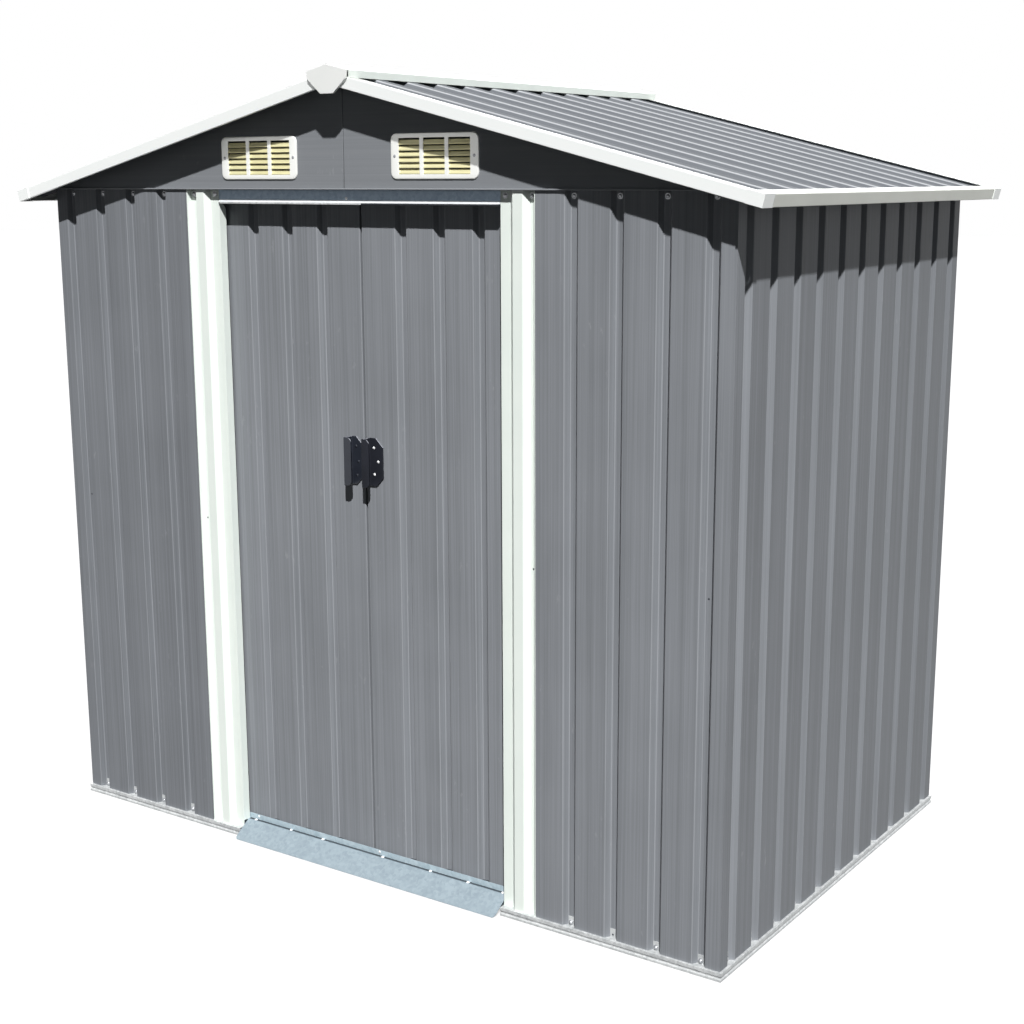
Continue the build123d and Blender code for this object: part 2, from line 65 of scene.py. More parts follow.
# Places taken from the frame
FRONT_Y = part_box("front_right_wall")[0].y
BACK_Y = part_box("back_wall")[1].y
RIGHT_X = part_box("front_right_wall")[1].x
WALL_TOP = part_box("front_right_wall")[1].z
RAIL_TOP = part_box("front_right_wall")[0].z
GABLE_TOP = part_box("front_gable_left")[1].z
SEAM_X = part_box("front_gable_left")[1].x
TRACK_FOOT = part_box("door_head_track")[0].z
LIP_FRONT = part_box("door_head_track")[0].y
RAMP_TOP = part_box("door_ramp")[1].z
RAMP_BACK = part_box("door_ramp")[1].y
GUIDE_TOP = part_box("door_sill_track")[1].z
ROOF_LOW, ROOF_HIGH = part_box("roof_right")
OUT = {"front": Vector((0, -1, 0)), "back": Vector((0, 1, 0)), "left": Vector((-1, 0, 0)),
       "right": Vector((1, 0, 0))}
UP = Vector((0, 0, 1))

# Grooves of the wall sheets
GROOVE_PITCH = 0.1065
GROOVE_DEPTH = 0.012
CORNER_FLAT = 0.0505         # wall corner to the middle of the first groove
FRONT_GROOVES = 4            # each side of the doorway
TAB_SHEET = 0.001            # tabs stand ahead of the groove floors

# Ribs of the roof sheets
RIB_HEIGHT = 0.012
RIB_EDGE_START = RIB_HEIGHT * 0.10       # painted highlight along the upper edge of a rib's sides, below the rib's top
RIB_EDGE_END = RIB_HEIGHT * 0.22
ROOF_FALL = 0.244            # fall of the roof over its run
RIDGE_TOP = ROOF_HIGH.z + ROOF_LOW.x * ROOF_FALL

# Bends
FOLD_ROUND = 0.0022          # pressed grooves and ribs
JAMB_ROUND = 0.0080          # soft ribs of the jambs
TRIM_ROUND = 0.0014          # folded trims
RAIL_ROUND = 0.0009          # folded rails
CAP_ROUND = 0.0011           # moulded caps
THIN_ROUND = 0.0005          # thin caps at the eave corners
ROUND_STEPS = 3
STRIP_STEPS = 2              # thin strips and louvre lips
FOLD_LEAST = radians(25.0)   # turn that counts as a fold
SHARP_LEAST = radians(40.0)  # turn that counts as a sharp edge
FLAT_MOST = radians(0.5)     # turn within one flat face
WELD_REACH = 1e-5
NARROW = 0.0018              # faces narrower than this are cut edges
JAMB_NARROW = 0.0040
BOTH_BROAD = 0.9             # a fold has broad faces on both sides

# Fixings
BOLT_RADIUS = 0.0046
BOLT_HEIGHT = 0.0034
WASHER_RADIUS = 0.0062
WASHER_SHEET = 0.001
BOLT_SIDES = 10
FLANK_SHARE = 0.72           # of a head's height, up to where its crown begins
BROW_SHARE = 0.62            # of a head's radius, there
CROWN_SHARE = 0.32           # of a head's radius, from there in to the flat top
TOP_BOLT_DROP = 0.0105       # wall top to the bolts along it
FOOT_BOLT_LIFT = 0.0062      # rail's ledge to the bolts through its tabs
JAMB_BOLTS = (0.413, 0.4795)             # from the middle of the doorway
BARE_TAB = RIGHT_X - CORNER_FLAT - 2 * GROOVE_PITCH
LAP_RIVETS = ((0.4815, 0.806), (-0.4815, 0.806), (0.8995, 0.802), (-0.8995, 0.820))
RIVET_RADIUS = 0.0036
RIVET_HEIGHT = 0.0017
SCREW_RADIUS = 0.0043
SCREW_HEIGHT = 0.0024
SPOT_RADIUS = 0.0024         # small dark rivets
SPOT_HEIGHT = SPOT_RADIUS / 3
HOLE_HEIGHT = SPOT_RADIUS / 6
RAMP_SCREWS = (-0.376, -0.258, -0.154, 0.034, 0.177, 0.286, 0.384)
RAMP_SCREW_INSET = 0.0045    # ramp's back edge to its screws
GUIDE_SCREWS = (-0.371, 0.021)
GUIDE_SCREW_DROP = 0.0048
GUIDE_FACE = 0.0355          # behind the wall face
TRACK_SCREW_ASIDE = 0.006    # gable seam to the head track's screw
TRACK_SCREW_BACK = 0.0128    # behind the wall face
TRACK_SCREW_LIFT = 0.0135    # above the track's foot
RIGHT_RIVETS = ((0.0272, 1.021), (0.0395, 0.990), (0.0282, 0.960))
LEFT_RIVETS = ((-0.0245, 1.021), (-0.0185, 0.986), (-0.0235, 0.954))
HANDLE_SHEET = 0.0035

# Louvred vents
VENTS = ("front_vent_left", "front_vent_right", "back_vent_left", "back_vent_right")
VENT_WIDTH = 0.230
VENT_HEIGHT = 0.095
VENT_PROUD = 0.0032
VENT_CORNER = 0.014
CORNER_STEPS = 6
VENT_ROUND = 0.0022          # rounding of the frame's outer edge
WINDOW_ROUND = 0.0007
COLUMNS = 3
COLUMN_WIDTH = 0.056
COLUMN_GAP = 0.010
COLUMN_PITCH = COLUMN_WIDTH + COLUMN_GAP
COLUMN_HEIGHT = 0.075
FIELD_HALF = (COLUMNS * COLUMN_WIDTH + (COLUMNS - 1) * COLUMN_GAP) / 2
FIELD_MARGIN = 0.002
FRAME_SHARP = radians(60.0)  # turn of the frame's edges before they are rounded
LOUVRES = 6
LOUVRE_TOP_GAP = 0.0024      # opening above the top louvre
LOUVRE_PITCH = (COLUMN_HEIGHT - LOUVRE_TOP_GAP) / LOUVRES
LOUVRE_LIP = 0.0026
LOUVRE_DEPTH = 0.0045
LOUVRE_RISE = 0.0080
LOUVRE_INSET = 0.001         # lips behind the frame's face
VENT_SCREW_INSET = 0.0105    # frame's end to the screw

# Hems, seam lips and the lap of the head track's two lengths
HEM_HEIGHT = 0.0032
HEM_PROUD = 0.0050
HEM_ENDS = 0.020             # hem's ends short of the wall corners
SEAM_LIP = 0.0022
SEAM_PROUD = 0.0015
SEAM_TOP = 0.003             # lip's top below the gable's top
LAP_START = -0.395
LAP_END = 0.0305
LAP_HEIGHT = 0.0042
LAP_DEPTH = 0.0036
LAP_PROUD = 0.0006

# Camera of the photograph
EYE = Vector((2.355, -3.348, 1.619))
AHEAD = Vector((-0.5551, 0.8052, -0.2086))
ASIDE = Vector((0.8237, 0.5671, -0.0028))
PICTURE = 1024.0             # pixels across
FOCAL = 1623.0               # pixels
MIDDLE = (519.6, 523.3)      # pixels, where the optical axis meets the picture
SENSOR = 36.0                # millimetres

# Light
SUN_ALONG = Vector((-0.400, 0.505, -0.765))
SUN_STRENGTH = 5.1
SUN_SOFT = radians(1.3)
REAR_ALONG = Vector((0.56, -0.81, -0.15))
REAR_STRENGTH = 2.8
REAR_SOFT = radians(40.0)
SKY_LEFT = 0.006             # light in the shade from the left, and from the right
SKY_RIGHT = 0.066
SKY_SHADE = (0.84, 0.96, 1.10, 1.0)      # colour of the light in the shade
WHITE = (1.0, 1.0, 1.0, 1.0)
FLOOR_HALF = 40.0
FLOOR_DROP = 0.0005
FLOOR_FILL = 0.05            # floor's paleness as a source of bounced light
FLOOR_SEEN = 0.34
FLOOR_GLOW = 0.62
FLOOR_SPECKLE = (0.985, 1.015)


def shade(red, green, blue):
    """A linear colour from its screen values, which are over 10 and up to 255."""
    return tuple(((value / 255 + 0.055) / 1.055) ** 2.4 for value in (red, green, blue)) + (1.0,)


# Patterns, as repeats over a metre
FINE_LINES, MIDDLING_LINES, BROAD_LINES = 700.0, 190.0, 45.0
SLOW_CHANGE = 2.2
SPANGLE_CELLS, SPANGLE_CLOUDS = 150.0, 34.0
SMUDGE_PATCHES, SCUFFS, SCUFF_PLACES = 9.0, 85.0, 7.0
SCUFF_DRAWN = (1.0, 1.0, 0.35)           # scuffs drawn out upright
PLASTIC_GRAIN = 1400.0
FLOOR_GRAIN = 60.0
UPRIGHT = (1.0, 1.0, 0.004)              # rolling lines up the walls
DOWNHILL = (0.004, 1.0, 0.004)           # and down the roof
LEVEL = (0.004, 1.0, 1.0)                # and along the gables
RELIEF = 0.0002

# Painted highlights and painted shade, and scuffs and patches in the paint: its colour, share and where it
# starts and ends
# colour of the painted highlights on folds and groove sides
PAINTED_HIGHLIGHT = shade(186, 189, 194)
FOLD_HIGHLIGHT = 0.24              # painted highlight along folds
FOLD_START, FOLD_END = (0.1, 0.25), (0.5, 0.7)
GROOVE_SIDE_HIGHLIGHT = 0.14              # painted highlight on the groove sides of the side walls
GROOVE_SIDE = (0.6, 0.75)
# colour of the painted shade on groove sides and towards the back of the side walls
PAINTED_SHADE = shade(88, 92, 95)
GROOVE_SIDE_SHADE = 0.15           # painted shade on the sides of all grooves
BACK_SHADE = 0.42             # painted shade at the back end of the side walls
# painted highlight along the upper edge of the roof ribs' sides, and painted shade below it
RIB_HIGHLIGHT, RIB_SHADE = shade(182, 184, 187), shade(104, 107, 112)
RIB_SHADE_SHARE = 0.7
RIB_SIDE = (0.25, 0.5)
SCUFF_PAINT = shade(172, 174, 177)
SCUFF_SHARE = 0.3
PATCH_SHARE = 0.15
# painted shade in the seam between the gable sheets
SEAM_SHADE = shade(28, 30, 34)
SEAM_SHADE_SHARE = 0.6
SEAM_ASIDE = 0.0008          # gable sheet's edge to the middle of the painted shade line
SEAM_HALF = (0.0005, 0.0011)
# colour of the painted highlight on the handles' slanted upper edges
EDGE_HIGHLIGHT = shade(150, 152, 160)
HIGHLIGHT_SIDE = (0.72, 0.0, 0.69)            # way the handles' edges with painted highlights look
HIGHLIGHT_TURN = (0.8, 0.95)
# painted shade on the faces that look up: its colour, and the turn over which it comes in
TOP_SHADE = shade(209, 211, 207)
TOP_SHADE_TURN = (0.5, 0.95)
# painted highlight on the head track's lip, and painted shade along its foot
LIP_HIGHLIGHT, LIP_SHADE = shade(238, 241, 243), shade(36, 39, 44)
LIP_HIGHLIGHT_TOP = (TRACK_FOOT + 0.0085, TRACK_FOOT + 0.0100)
LIP_SHADE_TOP = (TRACK_FOOT + 0.0030, TRACK_FOOT + 0.0042)
# painted shade in the seam between the ramp's flange and the guide behind it
RAMP_SEAM_SHADE = shade(46, 50, 55)
RAMP_SEAM_SHADE_SHARE = 0.9
RAMP_SEAM_SHADE_FRONT = (RAMP_BACK - 0.0085, RAMP_BACK - 0.0070)
RAMP_SEAM_SHADE_TOP = (RAMP_TOP + 0.0005, RAMP_TOP + 0.0018)


class Tree:
    """A small hand for building node trees."""

    def __init__(self, tree):
        self.tree = tree

    def add(self, kind, settings=None, **sockets):
        """A node with its settings, and its sockets set or joined by name, or as i0, i1 and so on."""
        node = self.tree.nodes.new(kind)
        for key, value in (settings or {}).items():
            setattr(node, key, value)
        for key, value in sockets.items():
            self.join(value, node.inputs[int(key[1:]) if key[1:].isdigit() else key.replace("_", " ")])
        return node

    def join(self, value, socket):
        """Sets a socket to a constant, or joins it to another socket."""
        if isinstance(value, bpy.types.NodeSocket):
            self.tree.links.new(value, socket)
        else:
            socket.default_value = value

    def sum(self, operation, one, two=0.0):
        """One step of arithmetic."""
        return self.add("ShaderNodeMath", {"operation": operation}, i0=one, i1=two).outputs[0]

    def span(self, value, low, high, first=0.0, last=1.0):
        """Maps a value from low..high onto first..last."""
        node = self.add("ShaderNodeMapRange", {"clamp": True}, i0=value, i1=low, i2=high, i3=first, i4=last)
        return node.outputs[0]

    def blend(self, share, one, two):
        """Two colours blended by a share."""
        mix = self.add("ShaderNodeMix", {"data_type": "RGBA", "blend_type": "MIX"})
        for value, socket in ((share, 0), (one, 6), (two, 7)):
            self.join(value, mix.inputs[socket])
        return mix.outputs[2]

    def noise(self, vector, scale, detail=2.0, roughness=0.5):
        """Noise between 0 and 1."""
        node = self.add("ShaderNodeTexNoise", Vector=vector, Scale=scale, Detail=detail, Roughness=roughness)
        return node.outputs[0]

    def axes(self, vector):
        """The x, y and z of a vector."""
        return self.add("ShaderNodeSeparateXYZ", Vector=vector).outputs

    def stretch(self, vector, scale):
        """A place scaled along each axis."""
        return self.add("ShaderNodeMapping", {"vector_type": "POINT"}, Vector=vector, Scale=scale).outputs[0]

    def total(self, *terms):
        """The sum of values, each with its weight."""
        result = 0.0
        for value, weight in terms:
            result = self.sum("ADD", self.sum("MULTIPLY", value, weight), result)
        return result


def group(name, inputs, outputs):
    """A new shader node group with its sockets, and its two end nodes."""
    tree = bpy.data.node_groups.new(name, "ShaderNodeTree")
    for label, kind in inputs:
        tree.interface.new_socket(label, in_out="INPUT", socket_type=kind)
    for label, kind in outputs:
        tree.interface.new_socket(label, in_out="OUTPUT", socket_type=kind)
    hand = Tree(tree)
    return hand, hand.add("NodeGroupInput").outputs, hand.add("NodeGroupOutput").inputs


VALUE, PLACE = "NodeSocketFloat", "NodeSocketVector"


def rolled_group():
    """Lines of several widths along the rolling of a sheet, with slow changes of tone over it."""
    hand, given, result = group("rolled_lines", [("Along", PLACE), ("Place", PLACE)],
                                [("Tone", VALUE), ("Height", VALUE)])
    fine = hand.noise(given["Along"], FINE_LINES, 2.0, 0.6)
    middling = hand.noise(given["Along"], MIDDLING_LINES, 2.0, 0.6)
    broad = hand.noise(given["Along"], BROAD_LINES, 2.0, 0.5)
    slow = hand.noise(given["Place"], SLOW_CHANGE, 3.0, 0.55)
    hand.join(hand.total((fine, 0.3), (middling, 0.32), (broad, 0.2), (slow, 0.18)), result["Tone"])
    hand.join(hand.total((fine, 0.4), (middling, 0.6)), result["Height"])
    return hand.tree


def spangle_group():
    """The crystal pattern of hot-dipped zinc, under soft clouds."""
    hand, given, result = group("zinc_spangle", [("Place", PLACE)], [("Tone", VALUE)])
    cells = hand.add("ShaderNodeTexVoronoi", Vector=given["Place"], Scale=SPANGLE_CELLS).outputs["Color"]
    grey = hand.add("ShaderNodeSeparateColor", Color=cells).outputs[0]
    cloud = hand.noise(given["Place"], SPANGLE_CLOUDS, 5.0, 0.65)
    hand.join(hand.total((grey, 0.3), (cloud, 0.7)), result["Tone"])
    return hand.tree


def smudge_group():
    """Handling marks: soft uneven patches, and sparse upright scuffs."""
    hand, given, result = group("smudges", [("Place", PLACE)], [("Patches", VALUE), ("Scuffs", VALUE)])
    patches = hand.noise(given["Place"], SMUDGE_PATCHES, 5.0, 0.62)
    scuffs = hand.noise(hand.stretch(given["Place"], SCUFF_DRAWN), SCUFFS, 3.0, 0.6)
    sparse = hand.span(hand.noise(given["Place"], SCUFF_PLACES, 1.0, 0.5), 0.52, 0.66)
    hand.join(hand.span(patches, 0.35, 0.75), result["Patches"])
    hand.join(hand.sum("MULTIPLY", hand.span(scuffs, 0.63, 0.74), sparse), result["Scuffs"])
    return hand.tree


ROLLED = rolled_group()
SPANGLE = spangle_group()
SMUDGES = smudge_group()


class Finish:
    """A material in the making: its tree, the object's own coordinates and its surface shader."""

    def __init__(self, name):
        self.material = bpy.data.materials.new(name)
        self.material.use_nodes = True
        tree = self.material.node_tree
        self.hand = Tree(tree)
        self.surface = tree.nodes["Principled BSDF"]
        self.place = self.hand.add("ShaderNodeTexCoord").outputs["Object"]

    def normal(self):
        """The way a face looks."""
        return self.hand.add("ShaderNodeNewGeometry").outputs["Normal"]

    def turned(self, axis):
        """How far a face is turned toward an axis, from 0 to 1."""
        return self.hand.sum("ABSOLUTE", self.hand.axes(self.normal())[axis])

    def use(self, tree, **sockets):
        """A node group with its inputs."""
        return self.hand.add("ShaderNodeGroup", {"node_tree": tree}, **sockets).outputs

    def bump(self, height, strength):
        """Fine relief on the surface."""
        node = self.hand.add("ShaderNodeBump", Strength=strength, Distance=RELIEF, Height=height)
        self.hand.join(node.outputs[0], self.surface.inputs["Normal"])

    def set(self, **sockets):
        """Sets or joins sockets of the surface shader."""
        for key, value in sockets.items():
            self.hand.join(value, self.surface.inputs[key.replace("_", " ")])
        return self.material


def shaded_gable_seam(finish, tone):
    """A dark line of painted shade in the seam between two gable sheets."""
    hand = finish.hand
    aside = hand.sum("SUBTRACT", hand.axes(finish.place)[0], SEAM_X + SEAM_ASIDE)
    gap = hand.span(hand.sum("ABSOLUTE", aside), *SEAM_HALF, SEAM_SHADE_SHARE, 0.0)
    return hand.blend(gap, tone, SEAM_SHADE)


def fold_highlights_and_shade(finish, tone, axis=0):
    """Painted highlights along the folds of the grooves, and painted shade on the groove sides between them.
    """
    hand = finish.hand
    turn = finish.turned(axis)
    fold = hand.sum("MULTIPLY", hand.span(turn, *FOLD_START), hand.span(turn, *FOLD_END, FOLD_HIGHLIGHT, 0.0))
    tone = hand.blend(hand.span(turn, *GROOVE_SIDE, 0.0, GROOVE_SIDE_SHADE), tone, PAINTED_SHADE)
    return hand.blend(fold, tone, PAINTED_HIGHLIGHT)


def side_highlights_and_shade(finish, tone):
    """Painted highlights and shade on the folds and groove sides of the side sheets, and painted shade that
    deepens towards the back.
    """
    hand = finish.hand
    back = hand.span(hand.axes(finish.place)[1], FRONT_Y, BACK_Y, 0.0, BACK_SHADE)
    tone = fold_highlights_and_shade(finish, hand.blend(back, tone, PAINTED_SHADE), 1)
    return hand.blend(hand.span(finish.turned(1), *GROOVE_SIDE, 0.0, GROOVE_SIDE_HIGHLIGHT), tone, PAINTED_HIGHLIGHT)


def rib_highlights_and_shade(finish, tone):
    """Painted highlight along the upper edge of each roof rib's sides, and painted shade below it."""
    hand = finish.hand
    x, _, z = hand.axes(finish.place)
    fall = hand.sum("MULTIPLY", hand.sum("ABSOLUTE", x), ROOF_FALL)
    below = hand.sum("SUBTRACT", RIDGE_TOP, hand.sum("ADD", z, fall))
    upper = hand.span(below, RIB_EDGE_START, RIB_EDGE_END, 1.0, 0.0)
    sides = hand.span(finish.turned(1), *RIB_SIDE)
    tone = hand.blend(hand.sum("MULTIPLY", sides, RIB_SHADE_SHARE), tone, RIB_SHADE)
    return hand.blend(hand.sum("MULTIPLY", sides, upper), tone, RIB_HIGHLIGHT)


def edge_highlights(finish, tone):
    """Painted highlight on a handle's slanted upper edges."""
    hand = finish.hand
    slant = hand.add("ShaderNodeVectorMath", {"operation": "DOT_PRODUCT"}, i0=finish.normal(), i1=HIGHLIGHT_SIDE)
    return hand.blend(hand.span(slant.outputs["Value"], *HIGHLIGHT_TURN), tone, EDGE_HIGHLIGHT)


def shaded_tops(finish, tone):
    """Painted shade on the faces that look up, which tones down the strong light on them."""
    hand = finish.hand
    return hand.blend(hand.span(hand.axes(finish.normal())[2], *TOP_SHADE_TURN), tone, TOP_SHADE)


def lip_highlight_and_shade(finish, tone):
    """Painted highlight on the head track's lip, and painted shade along its foot."""
    hand = finish.hand
    z = hand.axes(finish.place)[2]
    tone = hand.blend(hand.span(z, *LIP_HIGHLIGHT_TOP, 1.0, 0.0), tone, LIP_HIGHLIGHT)
    return hand.blend(hand.span(z, *LIP_SHADE_TOP, 1.0, 0.0), tone, LIP_SHADE)


def shaded_ramp_seam(finish, tone):
    """Painted shade along the seam between the ramp's flange and the guide behind it."""
    hand = finish.hand
    _, y, z = hand.axes(finish.place)
    low = hand.span(z, *RAMP_SEAM_SHADE_TOP, RAMP_SEAM_SHADE_SHARE, 0.0)
    return hand.blend(hand.sum("MULTIPLY", hand.span(y, *RAMP_SEAM_SHADE_FRONT), low), tone, RAMP_SEAM_SHADE)


def painted_sheet(name, dark, light, along, roughness, specular, extra=None):
    """Painted sheet with rolling lines along an axis."""
    finish = Finish(name)
    hand = finish.hand
    lines = finish.use(ROLLED, Along=hand.stretch(finish.place, along), Place=finish.place)
    marks = finish.use(SMUDGES, Place=finish.place)
    tone = hand.blend(hand.span(lines["Tone"], 0.38, 0.62), dark, light)
    tone = hand.blend(hand.sum("MULTIPLY", marks["Patches"], PATCH_SHARE), tone, light)
    tone = hand.blend(hand.sum("MULTIPLY", marks["Scuffs"], SCUFF_SHARE), tone, SCUFF_PAINT)
    tone = extra(finish, tone) if extra else tone
    finish.bump(lines["Height"], 0.3)
    rough = hand.span(lines["Tone"], 0.3, 0.7, roughness - 0.06, roughness + 0.06)
    return finish.set(Base_Color=tone, Roughness=rough, Specular_IOR_Level=specular)


def moulded(name, dark, light, roughness, grain, specular=0.25, extra=None, mirror=0.0):
    """Moulded plastic or smooth paint with faint patches and a fine grain, and a share that mirrors."""
    finish = Finish(name)
    hand = finish.hand
    marks = finish.use(SMUDGES, Place=finish.place)
    tone = hand.blend(marks["Patches"], light, dark)
    tone = extra(finish, tone) if extra else tone
    rough = hand.span(marks["Patches"], 0.0, 1.0, roughness, roughness + 0.1)
    finish.bump(hand.noise(finish.place, PLASTIC_GRAIN), grain)
    return finish.set(Base_Color=tone, Roughness=rough, Specular_IOR_Level=specular, Metallic=mirror)


def zinc(name, dark, light, metallic, roughness, extra=None):
    """Galvanised steel with its spangle."""
    finish = Finish(name)
    hand = finish.hand
    spangle = finish.use(SPANGLE, Place=finish.place)["Tone"]
    tone = hand.blend(hand.span(spangle, 0.3, 0.7), dark, light)
    tone = extra(finish, tone) if extra else tone
    rough = hand.span(spangle, 0.2, 0.8, roughness - 0.08, roughness + 0.08)
    finish.bump(spangle, 0.1)
    return finish.set(Base_Color=tone, Metallic=metallic, Roughness=rough, Specular_IOR_Level=0.3)


GREY_WALL = painted_sheet("grey_wall_sheet", shade(123, 126, 130), shade(147, 150, 155), UPRIGHT, 0.46, 0.10,
                          fold_highlights_and_shade)
# a grey a shade darker than the front right sheets, for the front left and back sheets
GREY_DARKER = painted_sheet("grey_darker_sheet", shade(112, 115, 119), shade(137, 140, 145), UPRIGHT, 0.46, 0.10,
                          fold_highlights_and_shade)
GREY_SIDE = painted_sheet("grey_side_sheet", shade(113, 116, 120), shade(139, 142, 147), UPRIGHT, 0.46, 0.14,
                          side_highlights_and_shade)
GREY_ROOF = painted_sheet("grey_roof_sheet", shade(113, 116, 120), shade(135, 138, 142), DOWNHILL, 0.7, 0.0,
                          rib_highlights_and_shade)
GREY_GABLE = painted_sheet("grey_gable_sheet", shade(130, 133, 137), shade(141, 144, 148), LEVEL, 0.5, 0.1,
                           shaded_gable_seam)
# painted highlight: a lighter, glossier grey than the gable's, for the hem and the seam lip
LIT_GREY_HEM = painted_sheet("lit_grey_hem", shade(132, 135, 139), shade(148, 151, 155), LEVEL, 0.4, 0.2)
VERGE_WHITE = moulded("white_verge_paint", shade(249, 252, 250), shade(252, 254, 252), 0.4, 0.05,
                      extra=shaded_tops, mirror=0.22)
WHITE_TRIM = moulded("white_trim_paint", shade(241, 249, 242), shade(246, 253, 246), 0.4, 0.05,
                     extra=shaded_tops)
EAVE_WHITE = moulded("white_eave_paint", shade(243, 245, 236), shade(248, 250, 241), 0.4, 0.05,
                     extra=shaded_tops)
WHITE_PLASTIC = moulded("white_plastic", shade(243, 245, 242), shade(248, 249, 246), 0.42, 0.1,
                        extra=shaded_tops)
VENT_WHITE = moulded("white_vent_plastic", shade(250, 251, 246), shade(253, 253, 249), 0.42, 0.1, 0.5,
                     mirror=0.34)
CREAM_PLASTIC = moulded("cream_plastic", shade(219, 212, 163), shade(229, 223, 178), 0.45, 0.1, 0.4,
                        mirror=0.3)
BLACK_PLASTIC = moulded("black_plastic", shade(32, 35, 43), shade(44, 48, 57), 0.32, 0.3, 0.4, edge_highlights)
# painted shade: a darker, less glossy copy of the black plastic, for the right handle
SHADED_BLACK_PLASTIC = moulded("shaded_black_plastic", shade(32, 34, 40), shade(42, 44, 52), 0.5, 0.3, 0.12,
                       edge_highlights)
NYLON = moulded("white_nylon", shade(222, 221, 214), shade(232, 231, 225), 0.5, 0.1)
ZINC = zinc("galvanised_rail", shade(180, 183, 184), shade(215, 217, 217), 0.2, 0.45)
# painted shade: darker zinc for the door rails that show low in the grooves
SHADED_ZINC = zinc("shaded_rail", shade(62, 66, 70), shade(86, 90, 94), 0.2, 0.5)
BLUE_ZINC = zinc("galvanised_ramp", shade(138, 152, 161), shade(155, 169, 177), 0.15, 0.5, shaded_ramp_seam)
# painted light: a paler copy of the ramp's zinc for the upright guide, which gets less light than the ramp
LIT_GUIDE_ZINC = zinc("lit_galvanised_guide", shade(172, 192, 202), shade(196, 212, 220), 0.15, 0.5)
TRACK_ZINC = zinc("galvanised_track", shade(128, 146, 164), shade(150, 167, 184), 0.2, 0.42, lip_highlight_and_shade)
BOLT_STEEL = zinc("zinc_plated_bolt", shade(150, 152, 156), shade(188, 190, 193), 0.35, 0.3)
# painted highlight: near-white zinc for the rivets and screws that catch the light
HIGHLIGHTED_STEEL = zinc("highlighted_rivet", shade(236, 237, 238), shade(250, 250, 250), 0.1, 0.3)

# Finishes by slot, and the pieces that have their own
FINISHES = {"grey_paint": GREY_WALL, "white_paint": WHITE_TRIM, "white_plastic": WHITE_PLASTIC,
            "cream_plastic": CREAM_PLASTIC, "galvanised": ZINC, "nylon": NYLON,
            "black_plastic": BLACK_PLASTIC}
GABLES = ("front_gable_left", "front_gable_right", "back_gable_left", "back_gable_right")
VERGES = ("front_verge_left", "front_verge_right", "back_verge_left", "back_verge_right")
OWN_FINISHES = {}
for own_finish, names in ((GREY_DARKER, ("front_left_wall", "back_wall")),
                          (GREY_SIDE, ("left_wall", "right_wall")),
                          (GREY_ROOF, ("roof_left", "roof_right")),
                          (GREY_GABLE, GABLES),
                          (VERGE_WHITE, VERGES + ("eave_corner_caps",)),
                          (EAVE_WHITE, ("left_eave_trim", "right_eave_trim")),
                          (BLUE_ZINC, ("door_ramp",)),
                          (LIT_GUIDE_ZINC, ("door_sill_track",)),
                          (TRACK_ZINC, ("door_head_track",)),
                          (SHADED_ZINC, ("left_door_rails", "right_door_rails")),
                          (SHADED_BLACK_PLASTIC, ("right_door_handle",))):
    OWN_FINISHES.update(dict.fromkeys(names, own_finish))
ROUNDS = {"grey_paint": FOLD_ROUND, "white_paint": TRIM_ROUND, "galvanised": RAIL_ROUND}
OWN_ROUNDS = {"eave_corner_caps": THIN_ROUND}
JAMBS = ("left_jamb", "right_jamb")
UNBENT = GABLES + ("door_ramp",)


def fold_marker():
    """Geometry nodes that weigh the edges where a sheet is folded, and leave its cut edges alone."""
    tree = bpy.data.node_groups.new("fold_marker", "GeometryNodeTree")
    tree.interface.new_socket("Geometry", in_out="INPUT", socket_type="NodeSocketGeometry")
    tree.interface.new_socket("Least", in_out="INPUT", socket_type=VALUE)
    tree.interface.new_socket("Geometry", in_out="OUTPUT", socket_type="NodeSocketGeometry")
    hand = Tree(tree)
    given = hand.add("NodeGroupInput").outputs
    angle = hand.add("GeometryNodeInputMeshEdgeAngle").outputs[0]
    area = hand.add("GeometryNodeInputMeshFaceArea").outputs[0]
    broad = hand.sum("GREATER_THAN", area, given["Least"])
    for domain in ("FACE", "EDGE"):
        settings = {"data_type": "FLOAT", "domain": domain}
        broad = hand.add("GeometryNodeFieldOnDomain", settings, i0=broad).outputs[0]
    bent = hand.sum("MULTIPLY", hand.sum("GREATER_THAN", angle, FOLD_LEAST),
                    hand.sum("GREATER_THAN", broad, BOTH_BROAD))
    store = hand.add("GeometryNodeStoreNamedAttribute", {"data_type": "FLOAT", "domain": "EDGE"},
                     Geometry=given["Geometry"], Name="bevel_weight_edge", Value=bent)
    hand.join(store.outputs[0], hand.add("NodeGroupOutput").inputs[0])
    return tree


FOLD_MARKER = fold_marker()
LEAST_KEY = FOLD_MARKER.interface.items_tree["Least"].identifier


def soften(obj, width, folds, narrow=NARROW):
    """Rounds a piece's edges: the folds of a sheet, or all sharp edges of a moulding."""
    weld = obj.modifiers.new("weld", "WELD")
    weld.merge_threshold = WELD_REACH
    flats = obj.modifiers.new("flats", "DECIMATE")
    flats.decimate_type = "DISSOLVE"
    flats.angle_limit = FLAT_MOST
    if folds:
        marker = obj.modifiers.new("folds", "NODES")
        marker.node_group = FOLD_MARKER
        marker[LEAST_KEY] = narrow * max(obj.dimensions)
    bevel = obj.modifiers.new("round", "BEVEL")
    bevel.width = width
    bevel.segments = ROUND_STEPS
    bevel.profile = 0.5
    bevel.limit_method = "WEIGHT" if folds else "ANGLE"
    bevel.angle_limit = SHARP_LEAST
    bevel.harden_normals = True


